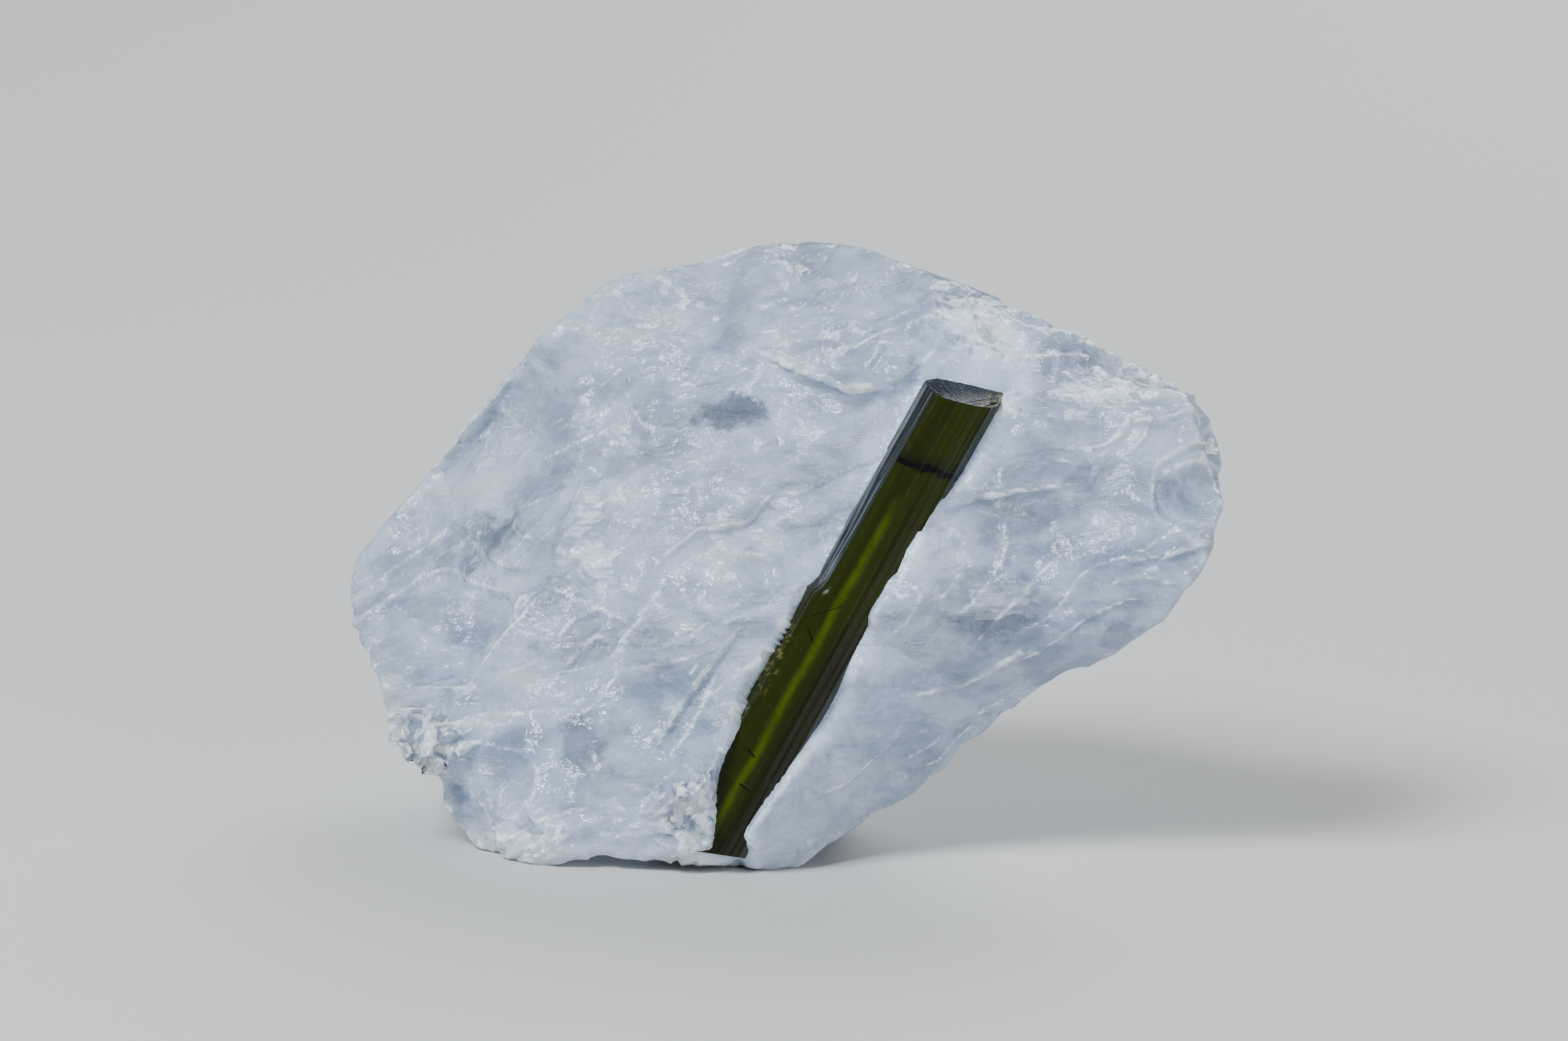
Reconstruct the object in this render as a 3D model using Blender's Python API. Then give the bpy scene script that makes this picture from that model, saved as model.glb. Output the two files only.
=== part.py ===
"""A green tourmaline crystal set in a broken chunk of milky quartz that stands on its lower edge.

X runs to the right, Y away from the viewer and Z up. The chunk is laid out as it is seen: every
control point is (right, up, back) in millimetres in a plane that faces the viewer, and stand_up()
turns that plane into the standing pose.
"""

import math

import bmesh
import bpy
from mathutils import Matrix, Vector, noise
from mathutils.bvhtree import BVHTree
from mathutils.geometry import delaunay_2d_cdt

MM = 0.001

# The plane the outline is measured in: it faces a viewer 400 mm off who looks down 12 degrees,
# and it is turned 2.8 degrees in itself. The eye is level with the height EYE_UP in that plane.
VIEW_DISTANCE = 400.0
VIEW_DOWN = math.radians(12.0)
VIEW_ROLL = math.radians(2.8)
EYE_UP = 16.8
TABLE_LIFT = 0.45

# Tourmaline: where its axis enters and leaves, in the same plane, and its cross-section as
# (right, forward) from the axis. The left flat shows from the front, the right one is buried.
CRYSTAL_TOP = (8.16, 22.18, 0.70)
CRYSTAL_FOOT = (-3.97, 0.58, 1.30)
CRYSTAL_OVERRUN = 3.0
CRYSTAL_WAVE = 0.03
CRYSTAL_SECTION = [
    (-1.86, 0.10), (-1.70, 0.70), (-1.20, 1.34), (-0.30, 1.52), (0.75, 1.46), (1.50, 1.10),
    (1.84, 0.35), (1.62, -0.75), (0.95, -1.45), (-0.10, -1.70), (-1.10, -1.35), (-1.72, -0.60),
]
SEAT_GAP = 0.10

# The crystal's broken ends. The break on top runs through three points and the chip beside it
# through one, as (right, forward, along) from the top; the heel is cut square at a seen place.
TOP_BREAK = [(-1.7, 1.1, -0.18), (1.9, 0.6, 1.50), (-1.5, -1.5, 1.25)]
CHIP_PLACE = (-1.2, 0.0, 0.72)
CHIP_FACING = (-0.75, 0.20, 0.90)
HEEL_PLACE = (-2.80, 0.66, 0.30)
HEEL_FACING = (-0.10, -0.25, -1.0)

# Quartz skin: bowls of two widths, each with its depth, seed and sideways wander, and fine grain.
WORKING_VOXEL = 0.24
CAGE_EDGE = 1.6
QUARTZ_TRIANGLES = 9000
BIG_BOWLS = {"width": 5.2, "depth": 0.30, "seed": 3.0, "wander": 1.4}
SMALL_BOWLS = {"width": 2.1, "depth": 0.14, "seed": 11.0, "wander": 2.2}
GRAIN_DEPTH = 0.07
GRAIN_PITCH = 0.8
WANDER_PITCH = 0.35
RIM_SHARE = 0.25
FULL_DEPTH_FROM = 2.0

# Outline, clockwise from the top. "back" is how far behind the sharp plane each point lies.
OUTLINE = [
    (-1.15, 30.15, 8.5), (0.60, 30.25, 8.5), (2.30, 30.25, 8.0), (4.05, 30.00, 7.0), (5.70, 29.35, 5.5),
    (6.60, 28.60, 3.5), (7.20, 28.45, 2.0), (7.95, 28.15, 3.0), (9.00, 28.10, 4.0), (9.85, 27.75, 4.0),
    (10.85, 27.15, 4.5), (11.80, 26.90, 4.5), (13.20, 26.20, 4.5), (14.15, 25.45, 4.5), (14.60, 24.85, 5.0),
    (15.15, 24.40, 5.5), (15.70, 24.75, 7.5), (17.15, 24.15, 7.5), (18.70, 23.65, 7.0), (19.95, 22.85, 7.0),
    (20.70, 21.75, 6.5), (21.25, 20.35, 6.0), (21.10, 19.25, 5.0), (21.00, 18.50, 3.0), (21.25, 17.95, 0.5),
    (21.00, 16.65, 0.0), (20.75, 15.60, 0.0), (20.25, 14.30, 0.3), (19.35, 13.35, 1.0), (18.25, 11.95, 1.5),
    (17.15, 11.35, 2.0), (15.75, 10.35, 2.5), (13.65, 9.55, 3.0), (12.15, 8.60, 3.5), (11.35, 8.05, 3.5),
    (10.10, 7.00, 4.0), (9.30, 6.25, 4.0), (8.65, 6.15, 4.0), (7.50, 4.85, 4.5), (7.05, 4.55, 4.5),
    (6.35, 3.65, 4.5), (5.00, 3.00, 4.0), (4.10, 2.80, 4.0), (3.75, 2.15, 3.5), (2.50, 1.25, 2.5),
    (1.95, 1.05, 2.0), (1.05, 0.15, 1.8), (-0.30, -0.20, 1.3), (-1.00, -0.05, 1.2), (-1.75, 0.30, 1.2),
    (-2.25, 0.55, 1.8), (-3.35, 0.75, 1.8), (-3.50, 0.90, -1.0), (-5.25, 0.78, -0.9), (-7.20, 0.58, -0.3),
    (-7.95, 0.65, -0.2),
    (-8.75, 0.75, 0.0), (-10.10, 0.65, -0.3), (-11.35, 0.00, 0.0), (-12.85, 0.30, 0.5), (-13.55, 0.95, 1.0),
    (-13.75, 0.75, 2.3), (-14.60, 0.65, 2.4), (-15.10, 1.35, 3.0), (-15.25, 2.45, 3.5), (-15.70, 3.40, 4.0),
    (-15.95, 4.05, 3.5), (-16.50, 4.40, 2.0), (-17.00, 4.75, 1.5), (-17.05, 5.10, 1.0), (-17.90, 5.35, 0.7),
    (-18.60, 5.70, 0.5), (-18.65, 6.45, 0.5), (-17.90, 7.45, 2.0), (-18.20, 8.45, 4.0), (-18.90, 9.30, 5.0),
    (-19.60, 10.10, 6.0), (-20.50, 11.35, 8.0), (-20.85, 11.95, 9.0), (-20.95, 12.85, 10.5), (-20.95, 14.00, 12.0),
    (-20.70, 14.70, 12.0), (-19.85, 15.95, 12.0), (-18.40, 17.65, 12.0), (-16.80, 19.10, 12.0), (-15.60, 20.45, 11.5),
    (-14.25, 21.55, 11.0), (-13.35, 22.90, 10.0), (-12.65, 24.40, 8.0), (-11.70, 25.75, 7.0), (-10.40, 26.75, 7.0),
    (-9.15, 27.90, 7.0), (-7.70, 28.70, 7.5), (-6.00, 29.00, 8.0), (-4.40, 29.20, 8.5), (-2.80, 29.75, 8.5),
]

# The quartz beside the crystal, from its broken top end down. The crystal stands proud of the
# left bank near the top and dips under both banks near the foot.
LEFT_BANK = [
    (6.80, 23.60, 1.3), (6.15, 22.50, 0.9), (5.05, 20.60, 0.8), (4.15, 18.90, 0.7), (3.40, 17.60, 0.5),
    (2.20, 15.50, 0.3), (1.45, 14.20, 0.0), (0.70, 13.10, -0.3), (-0.15, 11.65, -0.5), (-0.90, 10.40, -0.6),
    (-2.00, 8.60, -0.6), (-2.50, 7.25, -0.7), (-2.60, 6.40, -0.8), (-3.25, 5.00, -1.1), (-3.50, 4.20, -1.2),
    (-3.65, 3.15, -1.2), (-3.55, 1.70, -1.1),
]
RIGHT_BANK = [
    (10.70, 22.70, 0.2), (10.20, 21.80, 0.0), (8.80, 19.50, -0.2), (8.30, 18.50, -0.5), (7.55, 17.90, -1.1),
    (6.40, 16.10, -1.2), (5.65, 14.70, -1.2), (4.65, 13.40, -1.2), (4.40, 12.60, -1.1), (4.00, 11.20, -0.8),
    (3.10, 10.60, -1.0), (2.75, 9.15, -0.5), (2.25, 8.30, -0.4), (1.40, 6.55, -0.5), (0.30, 4.80, -0.7),
    (-0.25, 3.90, -0.9), (-1.35, 2.30, -0.9), (-1.75, 1.70, -0.8),
]
BANK_DROP = 0.25
BANK_FLOOR = 0.6

# How blunt the outline's edge is, from its front to its back.
EDGE_THICKNESS = 1.0

# Edges and steps that show as lines on the front.
FRONT_LINES = [
    # the left lobe lies behind this step
    [(-14.90, 10.20, 2.6), (-14.20, 10.80, 2.3), (-13.50, 11.60, 2.0), (-12.75, 13.20, 1.4)],
    [(-15.40, 10.50, 4.6), (-14.70, 11.20, 4.5), (-14.00, 12.00, 4.2), (-13.30, 13.60, 3.6)],
    # the back-right lobe looks out behind this edge
    [(16.20, 23.70, 4.0), (17.20, 23.20, 3.2), (18.45, 23.20, 3.0), (19.35, 22.70, 2.6), (19.60, 22.00, 2.2),
     (19.90, 20.60, 1.6), (20.50, 19.70, 1.6)],
    [(16.20, 24.15, 7.0), (17.30, 23.75, 7.0)],
    [(20.05, 22.00, 6.4), (20.40, 20.80, 6.0)],
    # shell-shaped step above the crystal's end
    [(-1.05, 24.85, 1.3), (0.05, 24.25, 0.9), (2.10, 23.35, 0.5), (3.10, 22.90, 0.4), (5.10, 23.10, 0.6)],
    [(-0.95, 24.45, 1.9), (0.00, 23.80, 1.5), (2.00, 22.90, 1.1), (3.10, 22.45, 1.0)],
    # long low step across the right face
    [(8.05, 17.40, -0.3), (10.80, 18.00, -0.4), (13.60, 18.35, -0.3)],
    # ridge of the lower-left foot
    [(-15.05, 3.40, 2.4), (-14.45, 2.90, 1.7), (-13.80, 1.65, 1.2)],
    # creases left of the crystal's lower half
    [(-3.60, 9.55, -1.0), (-4.60, 7.90, -1.3), (-5.75, 6.20, -1.6)],
]

# Loose control points of the front.
FRONT_SPOTS = [
    (-7.5, 26.5, 5.5), (-3.5, 27.0, 6.0), (0.5, 27.5, 5.2), (4.0, 27.3, 4.0), (7.0, 27.0, 1.0), (10.0, 26.0, 1.8),
    (12.5, 24.8, 2.2), (-10.5, 24.2, 5.6), (-7.0, 24.0, 3.8), (-3.5, 24.6, 3.2), (3.5, 25.3, 1.4), (6.3, 25.4, 0.2),
    (9.2, 24.4, 0.7), (12.4, 23.0, 0.9), (14.8, 22.4, 2.0), (17.0, 21.6, 1.6), (-13.2, 20.6, 8.8), (-10.0, 20.3, 4.6),
    (-6.3, 20.8, 1.2), (-2.6, 21.8, 0.9), (1.2, 21.0, 0.4), (3.6, 21.2, 0.6), (12.2, 20.8, 0.1), (15.6, 19.9, 0.5),
    (18.4, 19.4, 0.6), (-16.6, 16.6, 9.5), (-13.4, 16.8, 5.8), (-10.0, 17.0, 2.2), (-6.5, 17.2, 0.2),
    (-3.0, 17.6, -0.4), (0.6, 17.4, 0.0), (11.0, 16.4, 0.2), (14.4, 16.6, 0.3), (17.8, 17.0, 0.1), (-18.8, 13.4, 9.2),
    (-15.8, 13.4, 6.2), (-10.2, 13.7, 0.0), (-6.8, 13.5, -0.9), (-3.2, 13.4, -0.9), (-0.6, 13.9, -0.3),
    (7.4, 13.6, -0.4), (9.6, 13.2, -0.2), (12.8, 13.6, 0.2), (16.3, 14.0, 0.2), (-17.5, 10.3, 5.0), (-11.6, 9.8, 0.0),
    (-8.2, 9.9, -1.5), (-2.2, 11.0, -0.7), (4.8, 9.8, -0.1), (7.4, 9.7, 0.4), (10.2, 9.8, 1.0), (13.0, 10.8, 1.3),
    (15.6, 12.0, 1.0), (-16.4, 6.9, 1.1), (-14.4, 6.6, 0.8), (-11.5, 6.2, -0.6), (-8.6, 6.3, -1.7),
    (-3.6, 6.9, -0.9), (2.9, 6.2, 0.3), (5.2, 6.2, 1.4), (7.3, 6.6, 2.2), (-12.2, 3.2, -0.2), (-9.6, 3.2, -1.1),
    (-6.8, 3.2, -1.2), (-4.7, 3.2, -1.4), (1.0, 3.0, 0.2), (3.0, 3.6, 1.8), (0.2, 1.3, 0.6), (-11.0, 1.2, -0.4),
    (-5.2, 1.6, -0.6),
]

# The back, which is out of sight: a few broad breaks and two blunt feet.
BACK_LINES = [
    [(-9.3, 3.38, 14.2), (-6.8, 3.26, 14.2), (-6.8, 3.92, 17.0), (-9.2, 4.03, 17.0)],
    [(0.2, 2.68, 13.2), (2.9, 2.55, 13.2), (2.7, 3.23, 16.0), (0.4, 3.34, 16.0)],
]
BACK_SPOTS = [
    (-8.0, 26.0, 11.0), (-3.0, 27.0, 12.0), (3.0, 27.2, 11.5), (8.0, 25.8, 9.5), (12.5, 24.0, 9.0),
    (-12.5, 20.5, 15.5), (-7.0, 21.0, 16.5), (-1.0, 22.0, 17.0), (5.0, 21.5, 15.5), (10.5, 21.0, 13.0),
    (15.5, 20.5, 10.5), (19.0, 19.5, 8.5), (-18.0, 14.5, 15.0), (-12.5, 15.0, 18.5), (-6.0, 15.5, 20.0),
    (0.5, 15.5, 19.5), (7.0, 15.0, 16.5), (13.0, 15.0, 11.5), (18.0, 15.5, 6.5), (-16.5, 10.0, 12.5),
    (-11.0, 9.5, 18.0), (-5.0, 9.0, 19.5), (1.5, 9.0, 18.5), (7.0, 9.5, 13.0), (12.5, 11.0, 7.0),
    (-12.5, 4.6, 11.0), (-3.2, 4.3, 14.5), (5.0, 5.6, 10.5), (-12.0, 2.85, 6.0), (-7.5, 2.6, 6.0),
    (-3.5, 2.5, 6.0), (0.0, 2.2, 6.0), (-8.0, 5.6, 18.6), (1.6, 5.2, 17.6),
]


def stand_up(right, up, back):
    """A point of the layout plane, put where it is on the standing stone, in metres."""
    spread = 1.0 + back / VIEW_DISTANCE
    flat_x = right * spread
    flat_y = EYE_UP + (up - EYE_UP) * spread
    x = flat_x * math.cos(VIEW_ROLL) - flat_y * math.sin(VIEW_ROLL)
    rise = flat_x * math.sin(VIEW_ROLL) + flat_y * math.cos(VIEW_ROLL)
    y = rise * math.sin(VIEW_DOWN) + back * math.cos(VIEW_DOWN)
    z = rise * math.cos(VIEW_DOWN) - back * math.sin(VIEW_DOWN) + TABLE_LIFT
    return Vector((x, y, z)) * MM


def beside(point, distance):
    """A bank point moved across the crystal by this much, onto the floor of its seat."""
    along = (Vector(CRYSTAL_TOP[:2]) - Vector(CRYSTAL_FOOT[:2])).normalized()
    return (point[0] + along.y * distance, point[1] - along.x * distance, BANK_FLOOR)


def add_skin(bm, rim, lines, spots, facing_front):
    """Fills the rim with triangles through the given lines and spots."""
    flat = [Vector(point[:2]) for point in OUTLINE]
    verts = list(rim)
    edges = [(i, (i + 1) % len(rim)) for i in range(len(rim))]
    for line in lines:
        first = len(flat)
        for point in line:
            flat.append(Vector(point[:2]))
            verts.append(bm.verts.new(stand_up(*point)))
        edges += [(i, i + 1) for i in range(first, len(flat) - 1)]
    for point in spots:
        flat.append(Vector(point[:2]))
        verts.append(bm.verts.new(stand_up(*point)))
    loop = list(range(len(rim)))
    result = delaunay_2d_cdt(flat, edges, [loop], 1, 1e-5, True)
    faces, sources = result[2], result[3]
    for face in faces:
        corners = [verts[sources[i][0]] for i in face]
        if facing_front:
            corners.reverse()
        bm.faces.new(corners)


def quartz_cage():
    bm = bmesh.new()
    rim = [bm.verts.new(stand_up(*point)) for point in OUTLINE]
    banks = [LEFT_BANK, [beside(point, BANK_DROP) for point in LEFT_BANK]]
    banks += [RIGHT_BANK, [beside(point, -BANK_DROP) for point in RIGHT_BANK]]
    rear = [bm.verts.new(stand_up(x, y, back + EDGE_THICKNESS)) for x, y, back in OUTLINE]
    for i in range(len(rim)):
        j = (i + 1) % len(rim)
        bm.faces.new((rim[i], rim[j], rear[j], rear[i]))
    add_skin(bm, rim, FRONT_LINES + banks, FRONT_SPOTS, True)
    add_skin(bm, rear, BACK_LINES, BACK_SPOTS, False)
    bmesh.ops.delete(bm, geom=[v for v in bm.verts if not v.link_faces], context="VERTS")
    bmesh.ops.recalc_face_normals(bm, faces=bm.faces)
    return bm


def to_object(bm, name):
    mesh = bpy.data.meshes.new(name)
    bm.to_mesh(mesh)
    bm.free()
    obj = bpy.data.objects.new(name, mesh)
    bpy.context.collection.objects.link(obj)
    return obj


def bake(obj):
    """Replaces the object's mesh with the result of its modifiers."""
    graph = bpy.context.evaluated_depsgraph_get()
    graph.update()
    shaped = bpy.data.meshes.new_from_object(obj.evaluated_get(graph))
    obj.modifiers.clear()
    obj.data = shaped


def bowls(point, drifted, width, depth, seed, wander):
    """Bowls with sharp rims between them, as a shell-like break leaves: low in their middles."""
    place = point + drifted * wander
    slanted = Vector((place.x * 0.8 + place.z * 0.35, place.y, place.z - place.x * 0.3))
    nearest = noise.voronoi(slanted / width + Vector((seed, seed * 0.7, seed * 0.3)))[0][0]
    return depth * (2.4 * nearest * nearest - 1.1)


def drift(point):
    """A slow sideways wander, so that no two breaks have the same shape."""
    steps = (Vector((7.1, 0.0, 0.0)), Vector((0.0, 5.3, 0.0)), Vector((0.0, 0.0, 9.7)))
    return Vector([noise.noise(point * WANDER_PITCH + step) for step in steps])


def roughen(obj):
    """Breaks the smooth skin into large and small bowls.

    They fade out at the outline, and where the stone is thinner than FULL_DEPTH_FROM.
    """
    mesh = obj.data
    bm = bmesh.new()
    bm.from_mesh(mesh)
    skin = BVHTree.FromBMesh(bm)
    bm.free()
    gaze = (stand_up(0, EYE_UP, 10) - stand_up(0, EYE_UP, 0)).normalized()
    moved = []
    for vert in mesh.vertices:
        p = vert.co / MM
        drifted = drift(p)
        height = bowls(p, drifted, **BIG_BOWLS) + bowls(p, drifted, **SMALL_BOWLS)
        height += GRAIN_DEPTH * noise.fractal(p * GRAIN_PITCH, 1.0, 2.0, 4)
        height *= RIM_SHARE + (1.0 - RIM_SHARE) * abs(vert.normal.dot(gaze))
        start = vert.co - vert.normal * WORKING_VOXEL * 0.1 * MM
        thickness = (skin.ray_cast(start, -vert.normal)[3] or 0.0) / MM
        height *= min(thickness / FULL_DEPTH_FROM, 1.0)
        moved.append(vert.co + vert.normal * height * MM)
    for vert, place in zip(mesh.vertices, moved):
        vert.co = place
    mesh.update()


def prism_frame():
    """The crystal's own axes in space: across to the right, forward to the viewer, along it."""
    foot = stand_up(*CRYSTAL_FOOT)
    top = stand_up(*CRYSTAL_TOP)
    along = (top - foot).normalized()
    forward = stand_up(0, EYE_UP, -10) - stand_up(0, EYE_UP, 0)
    across = forward.cross(along).normalized() * -1.0
    forward = across.cross(along).normalized()
    if forward.y > 0:
        forward = -forward
    if across.x < 0:
        across = -across
    return foot, top, across, forward, along


def prism(name, swell):
    """The tourmaline's body, grown by swell millimetres on every side."""
    foot, top, across, forward, along = prism_frame()
    bm = bmesh.new()
    length = (top - foot).length / MM
    stations = [-swell, length * 0.25, length * 0.5, length * 0.75, length + CRYSTAL_OVERRUN]
    rings = []
    for i, station in enumerate(stations):
        ring = []
        for right, ahead in CRYSTAL_SECTION:
            size = math.hypot(right, ahead)
            grow = (size + swell) / size
            wave = CRYSTAL_WAVE * math.sin(1.7 * i + right * 2.1)
            offset = across * (right * grow + wave) + forward * (ahead * grow)
            ring.append(bm.verts.new(foot + along * station * MM + offset * MM))
        rings.append(ring)
    count = len(CRYSTAL_SECTION)
    for low, high in zip(rings, rings[1:]):
        for i in range(count):
            j = (i + 1) % count
            bm.faces.new((low[i], low[j], high[j], high[i]))
    bm.faces.new(rings[0])
    bm.faces.new(list(reversed(rings[-1])))
    bmesh.ops.recalc_face_normals(bm, faces=bm.faces)
    break_ends(bm, swell)
    return to_object(bm, name)


def cut(bm, point, normal):
    """Takes off what lies beyond a plane and closes the cut."""
    geometry = bm.verts[:] + bm.edges[:] + bm.faces[:]
    result = bmesh.ops.bisect_plane(
        bm, geom=geometry, dist=1e-8, plane_co=point, plane_no=normal, clear_outer=True
    )
    rim = [item for item in result["geom_cut"] if isinstance(item, bmesh.types.BMEdge)]
    if rim:
        bmesh.ops.triangle_fill(bm, use_beauty=True, edges=rim, normal=normal)
    bmesh.ops.recalc_face_normals(bm, faces=bm.faces)


def break_ends(bm, swell):
    """The slanting break on top, a smaller chip beside it, and the rough break at the foot."""
    foot, top, across, forward, along = prism_frame()

    def in_space(right, ahead, up):
        return across * right + forward * ahead + along * up

    corners = [top + in_space(*corner) * MM for corner in TOP_BREAK]
    facing = (corners[1] - corners[0]).cross(corners[2] - corners[0]).normalized()
    if facing.dot(along) < 0:
        facing = -facing
    cut(bm, corners[0] + facing * swell * MM, facing)
    chip = in_space(*CHIP_FACING).normalized()
    cut(bm, top + in_space(*CHIP_PLACE) * MM + chip * swell * MM, chip)
    heel = Vector(HEEL_FACING).normalized()
    cut(bm, stand_up(*HEEL_PLACE) + heel * swell * MM, heel)


def difference(obj, cutter):
    boolean = obj.modifiers.new("seat", "BOOLEAN")
    boolean.operation = "DIFFERENCE"
    boolean.solver = "EXACT"
    boolean.object = cutter
    bake(obj)


def slice_feet(obj):
    """Grinds the lowest points flat, so that the stone rests on small real faces."""
    bm = bmesh.new()
    bm.from_mesh(obj.data)
    cut(bm, Vector((0, 0, 0)), Vector((0, 0, -1)))
    bmesh.ops.triangulate(bm, faces=[face for face in bm.faces if len(face.verts) > 3])
    bm.to_mesh(obj.data)
    bm.free()


def build_quartz():
    bm = quartz_cage()
    for _ in range(6):
        long_edges = [edge for edge in bm.edges if edge.calc_length() > CAGE_EDGE * MM]
        if not long_edges:
            break
        bmesh.ops.subdivide_edges(bm, edges=long_edges, cuts=1)
        bmesh.ops.triangulate(bm, faces=[face for face in bm.faces if len(face.verts) > 3])
    obj = to_object(bm, "quartz_matrix")
    remesh = obj.modifiers.new("even skin", "REMESH")
    remesh.mode = "VOXEL"
    remesh.voxel_size = WORKING_VOXEL * MM
    bake(obj)
    roughen(obj)
    thin = obj.modifiers.new("facets", "DECIMATE")
    thin.ratio = QUARTZ_TRIANGLES / (2.0 * len(obj.data.polygons))
    thin.use_collapse_triangulate = True
    bake(obj)
    seat = prism("seat cutter", SEAT_GAP)
    difference(obj, seat)
    bpy.data.objects.remove(seat, do_unlink=True)
    slice_feet(obj)
    return obj


def paint(obj, name, colour, roughness):
    material = bpy.data.materials.new(name)
    material.use_nodes = True
    shader = material.node_tree.nodes["Principled BSDF"]
    shader.inputs["Base Color"].default_value = (*colour, 1.0)
    shader.inputs["Roughness"].default_value = roughness
    obj.data.materials.clear()
    obj.data.materials.append(material)


def centre_on_base(objects):
    """Puts the middle of the stone's footprint at the origin and its lowest face at zero."""
    points = [vert.co for obj in objects for vert in obj.data.vertices]
    low = Vector([min(p[axis] for p in points) for axis in range(3)])
    high = Vector([max(p[axis] for p in points) for axis in range(3)])
    shift = Matrix.Translation((-(low.x + high.x) / 2, -(low.y + high.y) / 2, -low.z))
    for obj in objects:
        obj.data.transform(shift)


def main():
    for old in list(bpy.data.objects):
        bpy.data.objects.remove(old, do_unlink=True)
    quartz = build_quartz()
    crystal = prism("tourmaline_crystal", 0.0)
    paint(quartz, "quartz", (0.80, 0.84, 0.88), 0.25)
    paint(crystal, "tourmaline", (0.06, 0.09, 0.02), 0.12)
    centre_on_base([quartz, crystal])


main()
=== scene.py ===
# %% [markdown]
# # A green tourmaline in a broken piece of quartz
#
# The specimen is a chunk of clear to milky quartz, 43 mm across and broken on every side, with one
# dark green tourmaline prism lying slantwise in its front. The two solids come ready made and in
# place. This lesson gives them their fine relief and their finish, then lights them and sets up the
# camera where the photographer stood.

# %% [markdown]
# ## Loading the solids
#
# The solids are in metres, with the surface that the stone stands on at height zero. Their box is
# kept, because nothing that is made here may reach past it.

# %% Load the solids
import math

import bmesh
import bpy
from mathutils import Matrix, Vector, noise
from mathutils.bvhtree import BVHTree


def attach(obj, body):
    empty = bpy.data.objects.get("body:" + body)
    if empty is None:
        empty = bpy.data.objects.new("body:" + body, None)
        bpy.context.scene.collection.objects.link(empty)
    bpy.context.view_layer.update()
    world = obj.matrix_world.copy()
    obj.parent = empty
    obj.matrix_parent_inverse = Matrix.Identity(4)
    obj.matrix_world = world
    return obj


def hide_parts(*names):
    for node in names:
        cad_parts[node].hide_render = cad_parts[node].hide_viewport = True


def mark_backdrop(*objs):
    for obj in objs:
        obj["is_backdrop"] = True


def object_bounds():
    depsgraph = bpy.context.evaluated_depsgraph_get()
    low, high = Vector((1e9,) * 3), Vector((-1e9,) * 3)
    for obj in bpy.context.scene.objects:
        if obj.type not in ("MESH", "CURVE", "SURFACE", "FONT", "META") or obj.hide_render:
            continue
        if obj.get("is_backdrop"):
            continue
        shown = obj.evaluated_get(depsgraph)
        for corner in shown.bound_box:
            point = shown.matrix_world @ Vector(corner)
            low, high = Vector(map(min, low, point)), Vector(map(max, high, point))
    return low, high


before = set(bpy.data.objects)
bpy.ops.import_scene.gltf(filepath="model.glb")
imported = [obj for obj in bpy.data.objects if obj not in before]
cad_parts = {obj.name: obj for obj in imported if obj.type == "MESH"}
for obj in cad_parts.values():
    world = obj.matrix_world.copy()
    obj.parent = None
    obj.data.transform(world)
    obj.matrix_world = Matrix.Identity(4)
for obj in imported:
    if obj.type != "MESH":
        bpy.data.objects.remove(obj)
cad_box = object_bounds()
MM = 0.001
for axis, low, high in zip("XYZ", *cad_box):
    print(f"solids along {axis}: {(high - low) / MM:.1f} mm")

# %% [markdown]
# ## Where things are
#
# Every feature of the front was found as it is seen, so its place is given as (right, up, back) in
# millimetres in a plane that faces the viewer. One function turns such a place into the frame of the
# solids, and a second one turns it back. The plane leans back because the photographer looked down
# by 12 degrees, and it is turned by 2.8 degrees because the picture isn't level.

# %% The viewer's plane
VIEW_DISTANCE = 400.0
VIEW_DOWN = math.radians(12.0)
VIEW_ROLL = math.radians(2.8)
EYE_UP = 16.8
PLANE_SHIFT = Vector((0.866, -10.770, 0.450))


def seen_direction(right, up, back=0.0):
    """A direction in the viewer's plane, turned into the frame of the solids."""
    rise = right * math.sin(VIEW_ROLL) + up * math.cos(VIEW_ROLL)
    return Vector((
        right * math.cos(VIEW_ROLL) - up * math.sin(VIEW_ROLL),
        rise * math.sin(VIEW_DOWN) + back * math.cos(VIEW_DOWN),
        rise * math.cos(VIEW_DOWN) - back * math.sin(VIEW_DOWN),
    ))


def seen_at(right, up, back=0.0):
    """The place of something seen in the viewer's plane, in metres in the frame of the solids."""
    spread = 1.0 + back / VIEW_DISTANCE
    flat = seen_direction(right * spread, EYE_UP + (up - EYE_UP) * spread, back)
    return (flat + PLANE_SHIFT) * MM


SEEN_RIGHT = seen_direction(1, 0)
SEEN_UP = seen_direction(0, 1)
SEEN_BACK = seen_direction(0, 0, 1)


def as_seen(place):
    """The reverse of seen_at: (right, up, back) in millimetres of a place in metres."""
    own = place / MM - PLANE_SHIFT
    back = own.dot(SEEN_BACK)
    spread = 1.0 + back / VIEW_DISTANCE
    return Vector((own.dot(SEEN_RIGHT) / spread, EYE_UP + (own.dot(SEEN_UP) - EYE_UP) / spread, back))


eye = seen_at(0.0, EYE_UP, -VIEW_DISTANCE)
print("the eye is at", [round(value / MM, 1) for value in eye], "mm")
print("there and back:", [round(value, 3) for value in as_seen(seen_at(3.0, 4.0, 5.0))])

# %% [markdown]
# ## The broken skin of the quartz
#
# Quartz has no flat cleavage. It breaks like glass, in shallow shells with sharp rims, and each
# shell ends in small curved steps. The solid has the large shells already. A copy of it is rebuilt
# from even, tiny faces, so that every vertex can be moved along its normal by a height that is
# worked out from its place. A saw-tooth of a slow noise makes ledges: a long gentle slope, then a
# sudden drop, with the drops winding over the stone as they do on a real break.

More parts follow.
